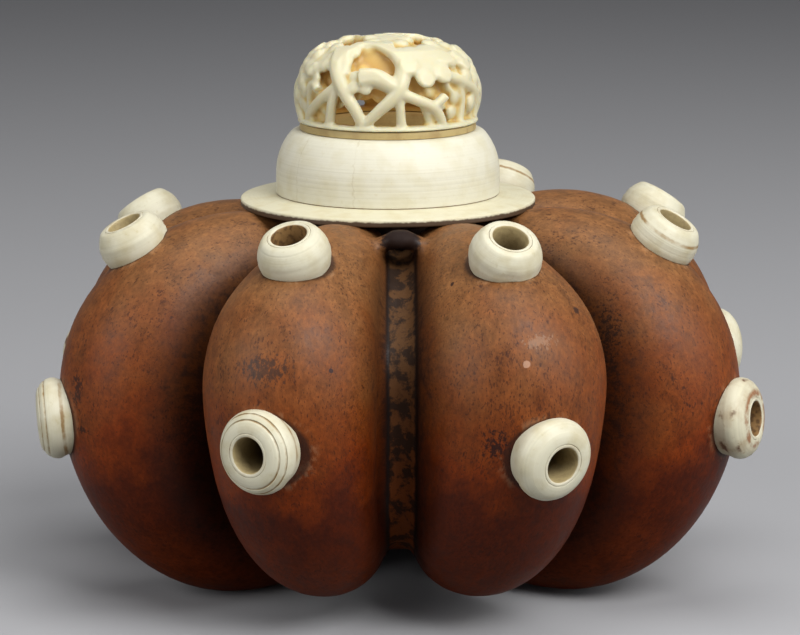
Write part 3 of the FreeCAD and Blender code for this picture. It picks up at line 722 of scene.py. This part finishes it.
def turned(name, profile, segments=80, soften=0.12):
    """A closed turned piece. The profile's points are radius and height in millimetres, and soften is
    the width of its rounded edges."""
    bpy.ops.object.select_all(action="DESELECT")
    radius, height = profile[0]
    bpy.ops.mesh.primitive_circle_add(vertices=segments, radius=radius * MM)
    piece = bpy.context.object
    piece.name = name
    bpy.ops.object.mode_set(mode="EDIT")
    bpy.ops.transform.translate(value=(0, 0, height * MM))
    for next_radius, next_height in list(profile[1:]) + [profile[0]]:
        step = {"value": (0, 0, (next_height - height) * MM)}
        bpy.ops.mesh.extrude_region_move(TRANSFORM_OT_translate=step)
        share = next_radius / radius
        bpy.ops.transform.resize(value=(share, share, 1), center_override=(0, 0, 0))
        radius, height = next_radius, next_height
    bpy.ops.mesh.select_all(action="SELECT")
    bpy.ops.mesh.remove_doubles(threshold=WELD)
    bpy.ops.mesh.normals_make_consistent(inside=False)
    bpy.ops.object.mode_set(mode="OBJECT")
    apply_modifier(piece, "BEVEL", width=soften * MM, segments=3, limit_method="ANGLE",
                   angle_limit=TURNED_EDGE)
    bpy.ops.object.shade_smooth_by_angle(angle=SHADED_AS_ONE)
    return piece


def settle(piece, place, axis, seed):
    """Remember a turned piece's own lathe coordinates, then stand it at its place along its axis."""
    store(piece, "lathe", points_of(piece) / MM)
    store(piece, "seed", np.full(len(piece.data.vertices), seed))
    only(piece)
    turn = Vector(axis).to_track_quat("Z", "Y").to_matrix().to_4x4()
    piece.matrix_world = Matrix.Translation(place) @ turn
    bpy.ops.object.transform_apply(location=True, rotation=True, scale=True)


# Turned profiles, as radius and height from the outer end of the bore. The grooved one has a line cut
# at each of two radii.
LOWER_RING = ((3.32, -5.6), (5.6, -5.6), (6.05, -3.9), (6.35, -3.2), (6.42, -2.6), (6.3, -1.9),
              (5.95, -1.25), (5.4, -0.70), (4.8, -0.34), (4.2, -0.12), (3.7, -0.03), (3.32, -0.02))
GROOVED_RING = ((3.32, -5.6), (5.6, -5.6), (6.05, -3.9), (6.38, -3.2), (6.44, -2.6), (6.3, -1.95),
                (6.12, -1.55), (6.0, -1.66), (5.92, -1.25), (5.4, -0.72), (5.22, -0.86), (5.05, -0.48),
                (4.6, -0.24), (4.0, -0.08), (3.32, -0.02))
UPPER_RING = ((3.32, -6.0), (5.1, -6.0), (5.5, -4.6), (5.62, -3.7), (5.5, -3.2), (5.54, -2.9),
              (5.36, -2.2), (5.0, -1.4), (4.92, -1.28), (4.6, -0.75), (4.3, -0.36), (3.95, -0.14),
              (3.32, -0.05))
SLEEVE = ((BORE_RADIUS, -8.0), (3.3, -8.0), (3.3, -0.03), (3.22, 0.0), (2.95, 0.0), (2.75, -0.14),
          (BORE_RADIUS + 0.01, -0.5))

# The rings whose profile and finish aren't the usual ones.
RING_FORMS = {("lower", "front_left"): (GROOVED_RING, grooved_ring_bone),
              ("lower", "right_front"): (LOWER_RING, stained_ring_bone),
              ("lower", "left_rear"): (LOWER_RING, stained_ring_bone),
              ("lower", "left_front"): (GROOVED_RING, grooved_ring_bone),
              ("upper", "right_front"): (UPPER_RING, grooved_ring_bone),
              ("upper", "rear_right"): (UPPER_RING, grooved_ring_bone)}

# Flats that are chipped off a ring's edge: the angle round the bore, and the distance from it.
CHIPS = {("lower", "front_left"): ((-38, 6.25),),
         ("lower", "front_right"): ((-160, 6.2),),
         ("upper", "front_right"): ((-105, 5.35),),
         ("upper", "left_front"): ((60, 5.3),)}

# Sleeves whose bore is dark and fibrous.
FIBROUS_BORES = (("upper", "front_left"), ("lower", "right_front"), ("lower", "rear_left"))

# How flat a chip is pressed, and how far the noise is shifted from one ring to the next.
CHIP_FLATNESS = 0.04
SEED_STEP = 3.7


def chip(piece, angle, distance):
    """Press a flat into the edge of a ring that still stands on its lathe."""
    put(piece, Matrix.Rotation(math.radians(-angle), 4, "Z"))
    bpy.ops.object.mode_set(mode="EDIT")
    bpy.ops.mesh.select_all(action="DESELECT")
    bpy.ops.object.mode_set(mode="OBJECT")
    piece.data.vertices.foreach_set("select", points_of(piece)[:, 0] > distance * MM)
    bpy.ops.object.mode_set(mode="EDIT")
    bpy.ops.transform.resize(value=(CHIP_FLATNESS, 1, 1), center_override=(distance * MM, 0, 0))
    bpy.ops.object.mode_set(mode="OBJECT")
    put(piece, Matrix.Rotation(math.radians(angle), 4, "Z"))


def make_vents():
    """Every vent ring with the sleeve that lines it."""
    for number, (row, lobe) in enumerate((row, lobe) for row in ROWS for lobe in LOBES):
        usual = (LOWER_RING if row == "lower" else UPPER_RING, plain_ring_bone)
        profile, finish = RING_FORMS.get((row, lobe), usual)
        ring = turned(f"{row}_ring_{lobe}", profile)
        for angle, distance in CHIPS.get((row, lobe), ()):
            chip(ring, angle, distance)
        sleeve = turned(f"{row}_sleeve_{lobe}", SLEEVE, 64, 0.08)
        lining = fibrous_bore_bone if (row, lobe) in FIBROUS_BORES else bore_bone
        for piece, material, slot, kind in ((ring, finish, "ring_bone", "ring"),
                                            (sleeve, lining, "sleeve_bone", "sleeve")):
            settle(piece, *bore_axis(lobe, row), seed=SEED_STEP * number)
            finish_piece(piece, material, "cage", slot, f"{row}_vent_{kind}_{lobe}")


make_vents()


def dress(node, name, material, body, slot, soften):
    """A merged copy of a CAD piece that is turned about the neck's axis, with softened edges."""
    piece = copy_of(name, node)
    apply_modifier(piece, "BEVEL", width=soften * MM, segments=3, limit_method="ANGLE",
                   angle_limit=SOLID_EDGE)
    only(piece)
    bpy.ops.object.shade_smooth_by_angle(angle=SHADED_AS_ONE)
    store(piece, "lathe", (points_of(piece) - np.array((NECK_X, 0, 0))) / MM)
    finish_piece(piece, material, body, slot, node)


dress("neck_disc", "neck_flange", disc_bone, "cage", "neck_disc_bone", 0.25)
dress("neck_collar", "neck_drum", collar_bone, "cage", "neck_bone", 0.15)
dress("lid_ring", "lid_step", step_bone, "lid", "step_bone", 0.15)


# The carved lid -----------------------------------------------------------------------------------

# The dome's outline: heights over the lid's step and the radius there, in millimetres.
DOME_HEIGHTS = (0.0, 1.2, 4.3, 6.6, 9.0, 10.6, 12.2, 13.2, 13.8)
DOME_RADII = (14.3, 14.4, 14.85, 14.6, 13.6, 12.5, 10.3, 7.4, 0.0)
# Branches of the front half: the thickness at each end, then points as azimuth, height over the step
# and depth under the dome's outline.
BRANCHES = (
    (0.88, 1.55, ((-16, 0.4, 0.9), (-20, 3.0, 0.9), (-26, 5.0, 0.8), (-32, 7.1, 0.8), (-38, 8.9, 0.8),
                  (-42, 10.6, 1.0), (-48, 12.0, 1.3))),
    (0.80, 1.50, ((-17, 0.7, 0.9), (-7, 3.1, 0.9), (1, 4.8, 0.8), (7, 6.2, 0.8), (10, 8.0, 0.9),
                  (13, 10.0, 1.2))),
    (0.82, 0.78, ((10, -0.1, 1.0), (9, 2.1, 1.1), (8, 4.2, 1.0), (8, 6.0, 1.0))),
    (0.95, 0.90, ((8, 6.2, 0.9), (15, 5.5, 0.8), (22, 4.8, 0.8), (30, 4.0, 0.8), (35, 2.8, 0.8),
                  (39, 1.2, 0.9), (41, -0.1, 1.0))),
    (0.85, 0.95, ((24, 4.6, 1.3), (29, 3.0, 1.6), (31, 1.5, 1.7), (32, -0.1, 1.6))),
    (0.75, 0.80, ((31, 3.9, 0.9), (35, 4.4, 0.7), (40, 5.5, 0.6))),
    (0.90, 0.95, ((30, 9.6, 1.4), (42, 8.7, 0.9), (56, 7.6, 0.8), (69, 6.4, 0.8), (80, 4.8, 0.8),
                  (84, 2.6, 0.9), (84, -0.1, 1.0))),
    (1.25, 1.20, ((-74, -0.1, 1.0), (-82, 1.7, 0.8), (-87, 4.2, 0.8), (-86, 6.2, 0.8), (-80, 8.0, 1.0))),
    (0.85, 0.90, ((-69, 1.2, 1.0), (-58, 3.2, 0.9), (-48, 4.8, 0.9), (-38, 6.6, 0.9), (-33, 7.6, 1.0))),
    (0.85, 0.80, ((-44, -0.1, 1.0), (-41, 2.5, 0.9), (-39, 4.6, 0.9), (-36, 6.6, 1.1))),
    (1.25, 1.85, ((9, 6.4, 1.0), (2, 7.3, 1.0), (-4, 8.1, 1.0), (-11, 8.5, 1.0), (-19, 8.1, 1.1))),
    (1.00, 1.05, ((-33, 8.6, 1.2), (-35, 10.4, 1.0), (-38, 12.2, 0.9), (-30, 13.1, 0.8), (-12, 13.0, 0.8),
                  (3, 12.3, 0.8), (10, 11.0, 0.8), (12, 9.4, 0.9))),
    (0.80, 0.80, ((-62, 0.0, 1.2), (-66, 3.0, 1.4), (-64, 5.6, 1.2), (-58, 7.2, 0.8), (-52, 6.0, 0.7))),
    (0.90, 0.80, ((58, -0.1, 1.4), (62, 3.0, 1.6), (60, 6.0, 1.4), (52, 8.4, 1.2))),
)

# Blossoms and leaves of the front half, carved as scalloped plates: azimuth, height, depth, how far
# each tips up, its roll, radius, how far it is drawn out, number of scallops and how far they curl.
PLATES = (
    (31, 10.9, 0.55, -12, 10, 4.6, 1.12, 6, 0.0),
    (-64, 11.2, 1.05, -2, 30, 3.7, 1.20, 6, -0.05),
    (-80, 9.4, 0.95, -4, 65, 3.2, 1.15, 5, 0.0),
    (-63, 7.9, 0.90, -8, 0, 2.4, 1.00, 4, 0.2),
    (-84, 7.0, 1.00, 0, 0, 3.2, 1.00, 5, 0.1),
    (66, 12.0, 1.05, 0, -25, 4.2, 1.20, 6, 0.0),
    (77, 9.8, 1.00, -4, 0, 3.8, 1.10, 5, 0.15),
    (95, 7.0, 1.00, -4, 0, 3.6, 1.00, 5, 0.1),
    (50, 10.9, 1.60, -4, 20, 3.0, 1.00, 5, 0.0),
    (-9, 10.8, 3.9, -22, 0, 5.4, 1.0, 9, 0.0),
    (-19, 8.3, 1.10, 14, 45, 2.5, 1.00, 4, -0.2),
    (-43, 11.7, 0.95, 0, 40, 2.9, 1.15, 5, 0.1),
    (-20, 13.4, 1.30, 0, 0, 2.6, 1.00, 5, 0.0),
    (112, 11.4, 1.20, 0, 0, 3.8, 1.15, 7, 0.0),
    (88, 3.2, 1.75, 0, 0, 4.4, 1.15, 6, 0.0),
    (-84, 3.2, 1.75, 0, 40, 4.2, 1.15, 6, 0.0),
    (62, 3.0, 2.20, 0, 20, 3.6, 1.00, 6, 0.0),
    (-58, 3.0, 2.20, 0, 0, 3.4, 1.00, 5, 0.0),
    (-72, 5.6, 3.2, 0, 0, 4.4, 1.15, 6, 0.0),
    (-48, 6.9, 3.3, 0, 20, 3.6, 1.10, 6, 0.0),
    (-27, 8.9, 3.3, 0, 0, 3.0, 1.00, 5, 0.0),
    (22, 8.4, 3.6, 0, 0, 3.2, 1.00, 5, 0.0),
    (48, 7.4, 3.4, 0, 0, 3.8, 1.10, 6, 0.0),
    (76, 5.8, 3.0, 0, 30, 4.2, 1.15, 6, 0.0),
    (102, 4.4, 2.9, 0, 0, 4.2, 1.10, 6, 0.0),
    (-103, 5.0, 3.0, 0, 0, 4.2, 1.10, 6, 0.0),
)

# How a plate is made up, as shares of its radius: its boss's radius and how flat that is, and the widest
# a scallop may be. Each scallop is a ball, drawn out and flattened, and lifted a little over the boss.
BOSS_SHARE = 0.72
BOSS_HEIGHT = 0.26
WIDEST_SCALLOP = 0.44
SCALLOP_SHAPE = (1.12, 1.0, 0.56)
SCALLOP_LIFT = 0.1 * MM

# The blossom on the crown.
TOP_PLATE = (10, 13.79, 1.05, 0, 0, 4.0, 1.0, 7, 0.05)

# Leaves that fill the far side of the carving low down, behind its branches: azimuth, height and radius.
REAR_LEAVES = ((118, 4.6, 3.4), (141, 5.2, 3.4), (163, 4.2, 3.4), (187, 4.8, 3.4), (208, 4.6, 3.2),
               (231, 5.0, 3.4), (250, 4.2, 3.4), (148, 1.6, 2.8), (170, 1.4, 2.6), (189, 1.2, 2.0),
               (222, 1.4, 2.4))

# How deep these leaves lie, and how far each is rolled past the last, in degrees.
REAR_DEPTH = 1.7
REAR_ROLL = 35

# Leaves that curl into bowls, open outward: azimuth, height, depth, how far each tips up and radius.
BOWLS = (
    (60, 8.7, 2.4, -6, 3.2),
    (-46, 9.2, 2.6, -6, 2.8),
)

# How far over its middle a bowl's ball is cut, as a share of its radius, and the bowl's wall.
BOWL_MOUTH = 0.30
BOWL_WALL = 1.25

# The rim that stands on the lid's step, as points of radius and height over the step.
RIM = ((11.2, -0.02), (14.4, -0.02), (14.6, 0.2), (14.5, 0.6), (13.9, 0.85), (11.6, 0.8), (11.2, 0.5))

# A turned form that closes over the axis keeps a pinhole of this radius there.
PINHOLE = 0.3

# The carved mass behind the leaves: a thick vault.
VAULT = ((11.0, 6.6), (10.2, 9.0), (7.8, 11.0), (4.5, 12.2), (PINHOLE, 12.5), (PINHOLE, 11.2),
         (4.2, 11.0), (6.9, 10.0), (8.9, 8.4), (9.6, 6.6))

# How far the blank that the carving is cut from stands out of the outline, round it and at its top. The
# smoothing takes about that much off again.
BLANK_ROUND = 0.50
BLANK_TOP = 0.15

# How many rounds of averaging smooth the form that hollows are told by: they even out about 1 mm.
RELIEF_ROUNDS = 40


def dome_place(azimuth, height, depth):
    """A point under the dome's outline, in metres in the part's frame."""
    radius = max(np.interp(height, DOME_HEIGHTS, DOME_RADII) - depth, 0.0)
    turn = math.radians(azimuth)
    return Vector((NECK_X + radius * math.sin(turn) * MM, -radius * math.cos(turn) * MM,
                   STEP_TOP + height * MM))


def branch(thick_root, thick_tip, points, turn):
    """A round branch along a smooth line, thick at its root and tip as given in millimetres."""
    bpy.ops.object.select_all(action="DESELECT")
    bpy.ops.curve.primitive_nurbs_path_add()
    piece = bpy.context.object
    curve = piece.data
    curve.splines.clear()
    spline = curve.splines.new("NURBS")
    spline.points.add(len(points) - 1)
    for number, (azimuth, height, depth) in enumerate(points):
        share = number / (len(points) - 1)
        spline.points[number].co = dome_place(azimuth + turn, height, depth).to_4d()
        spline.points[number].radius = thick_root + (thick_tip - thick_root) * share
    spline.order_u = 3
    spline.use_endpoint_u = True
    curve.bevel_depth = MM
    curve.bevel_resolution = 4
    curve.use_fill_caps = True
    bpy.ops.object.convert(target="MESH")
    return piece


def stand_on_dome(azimuth, height, depth, tip, roll=0.0):
    """The place and turn of a carved form that faces straight out of the dome, tipped and rolled."""
    step = 0.6
    low, high = (np.interp(height + reach, DOME_HEIGHTS, DOME_RADII) for reach in (-step, step))
    up = math.atan2(low - high, 2 * step) + math.radians(tip)
    turn = math.radians(azimuth)
    outward = Vector((math.sin(turn) * math.cos(up), -math.cos(turn) * math.cos(up), math.sin(up)))
    face = outward.to_track_quat("Z", "Y").to_matrix().to_4x4()
    sunk = dome_place(azimuth, height, 0.0) - depth * MM * outward
    return Matrix.Translation(sunk) @ face @ Matrix.Rotation(math.radians(roll), 4, "Z")


def plate(radius, drawn, scallops, curl, stand):
    """A blossom or leaf: lapping scallops round a low boss, in shallow relief. The fewer the scallops,
    the wider each is, so that they lap."""
    bpy.ops.object.select_all(action="DESELECT")
    bpy.ops.mesh.primitive_uv_sphere_add(segments=24, ring_count=12, radius=BOSS_SHARE * radius * MM)
    piece = bpy.context.object
    bpy.ops.object.mode_set(mode="EDIT")
    bpy.ops.transform.resize(value=(drawn, 1, BOSS_HEIGHT), center_override=(0, 0, 0))
    wide = min(WIDEST_SCALLOP, 1.75 / scallops + 0.09)
    reach = (1 - wide) * radius * MM
    for scallop in range(scallops):
        angle = 2 * math.pi * scallop / scallops
        bpy.ops.mesh.select_all(action="DESELECT")
        bpy.ops.mesh.primitive_uv_sphere_add(
            segments=20, ring_count=10, radius=wide * radius * MM,
            location=(drawn * reach * math.cos(angle), reach * math.sin(angle), SCALLOP_LIFT),
            rotation=(0, -curl, angle), scale=SCALLOP_SHAPE)
    bpy.ops.object.mode_set(mode="OBJECT")
    return put(piece, stand)


def bowl(radius, stand):
    """A leaf curled into a bowl, its opening outward: a ball cut above its middle, with a wall."""
    bpy.ops.object.select_all(action="DESELECT")
    bpy.ops.mesh.primitive_uv_sphere_add(segments=32, ring_count=20, radius=radius * MM)
    piece = bpy.context.object
    bpy.ops.object.mode_set(mode="EDIT")
    bpy.ops.mesh.select_all(action="SELECT")
    bpy.ops.mesh.bisect(plane_co=(0, 0, BOWL_MOUTH * radius * MM), plane_no=(0, 0, 1), clear_outer=True)
    bpy.ops.object.mode_set(mode="OBJECT")
    apply_modifier(piece, "SOLIDIFY", thickness=BOWL_WALL * MM, offset=0.0)
    return put(piece, stand)


def relief(piece):
    """How far each point of the carving lies under the carving's smoothed form, in millimetres."""
    places = points_of(piece) / MM
    edges = np.zeros(len(piece.data.edges) * 2, int)
    piece.data.edges.foreach_get("vertices", edges)
    first, second = edges.reshape(-1, 2).T
    ends = np.concatenate([first, second])
    others = np.concatenate([second, first])
    count = np.bincount(ends, minlength=len(places))[:, None]
    smooth = places.copy()
    for _ in range(RELIEF_ROUNDS):
        total = np.stack([np.bincount(ends, smooth[others, k], len(places)) for k in range(3)], axis=1)
        smooth = 0.5 * smooth + 0.5 * total / count
    normals = np.zeros(len(places) * 3)
    piece.data.vertex_normals.foreach_get("vector", normals)
    return ((smooth - places) * normals.reshape(-1, 3)).sum(axis=1)


def make_dome():
    """The pierced dome, carved from one turned blank: a rim, forking branches, blossoms and leaves. The
    far half repeats the front one turned by half a turn, with a few leaves of its own."""
    rim = turned("rim", RIM, 96)
    vault = turned("vault", VAULT, 64)
    for part in (rim, vault):
        put(part, Matrix.Translation((NECK_X, 0, STEP_TOP)))
    parts = [rim, vault, plate(*TOP_PLATE[5:], stand_on_dome(*TOP_PLATE[:5]))]
    for turn in (0, 180):
        for root, tip, points in BRANCHES:
            parts.append(branch(root, tip, points, turn))
        for azimuth, height, depth, tip, roll, *form in PLATES:
            parts.append(plate(*form, stand_on_dome(azimuth + turn, height, depth, tip, roll)))
        for azimuth, height, depth, tip, radius in BOWLS:
            parts.append(bowl(radius, stand_on_dome(azimuth + turn, height, depth, tip)))
    for number, (azimuth, height, radius) in enumerate(REAR_LEAVES):
        stand = stand_on_dome(azimuth, height, REAR_DEPTH, 0, REAR_ROLL * number)
        parts.append(plate(radius, 1.1, 6, 0.0, stand))
    piece = join(parts, "carved_dome")
    apply_modifier(piece, "REMESH", mode="VOXEL", voxel_size=CARVING_GRID * MM, adaptivity=0.0)
    profile = [(max(radius + BLANK_ROUND, PINHOLE), height + BLANK_TOP)
               for height, radius in zip(DOME_HEIGHTS, DOME_RADII)]
    blank = turned("blank", [(PINHOLE, 0.0)] + profile, 96)
    put(blank, Matrix.Translation((NECK_X, 0, STEP_TOP)))
    apply_modifier(piece, "SHRINKWRAP", target=blank, wrap_method="NEAREST_SURFACEPOINT",
                   wrap_mode="INSIDE")
    bpy.data.objects.remove(blank)
    apply_modifier(piece, "SMOOTH", **SMOOTHING)
    only(piece)
    bpy.ops.object.shade_smooth()
    places = (points_of(piece) - np.array((NECK_X, 0, STEP_TOP))) / MM
    outline = np.interp(places[:, 2], DOME_HEIGHTS, DOME_RADII)
    under = np.minimum(outline - np.hypot(places[:, 0], places[:, 1]), DOME_HEIGHTS[-1] - places[:, 2])
    store(piece, "depth", under)
    store(piece, "hollow", relief(piece))
    finish_piece(piece, carved_bone, "lid", "carved_bone", "lid_dome")


make_dome()
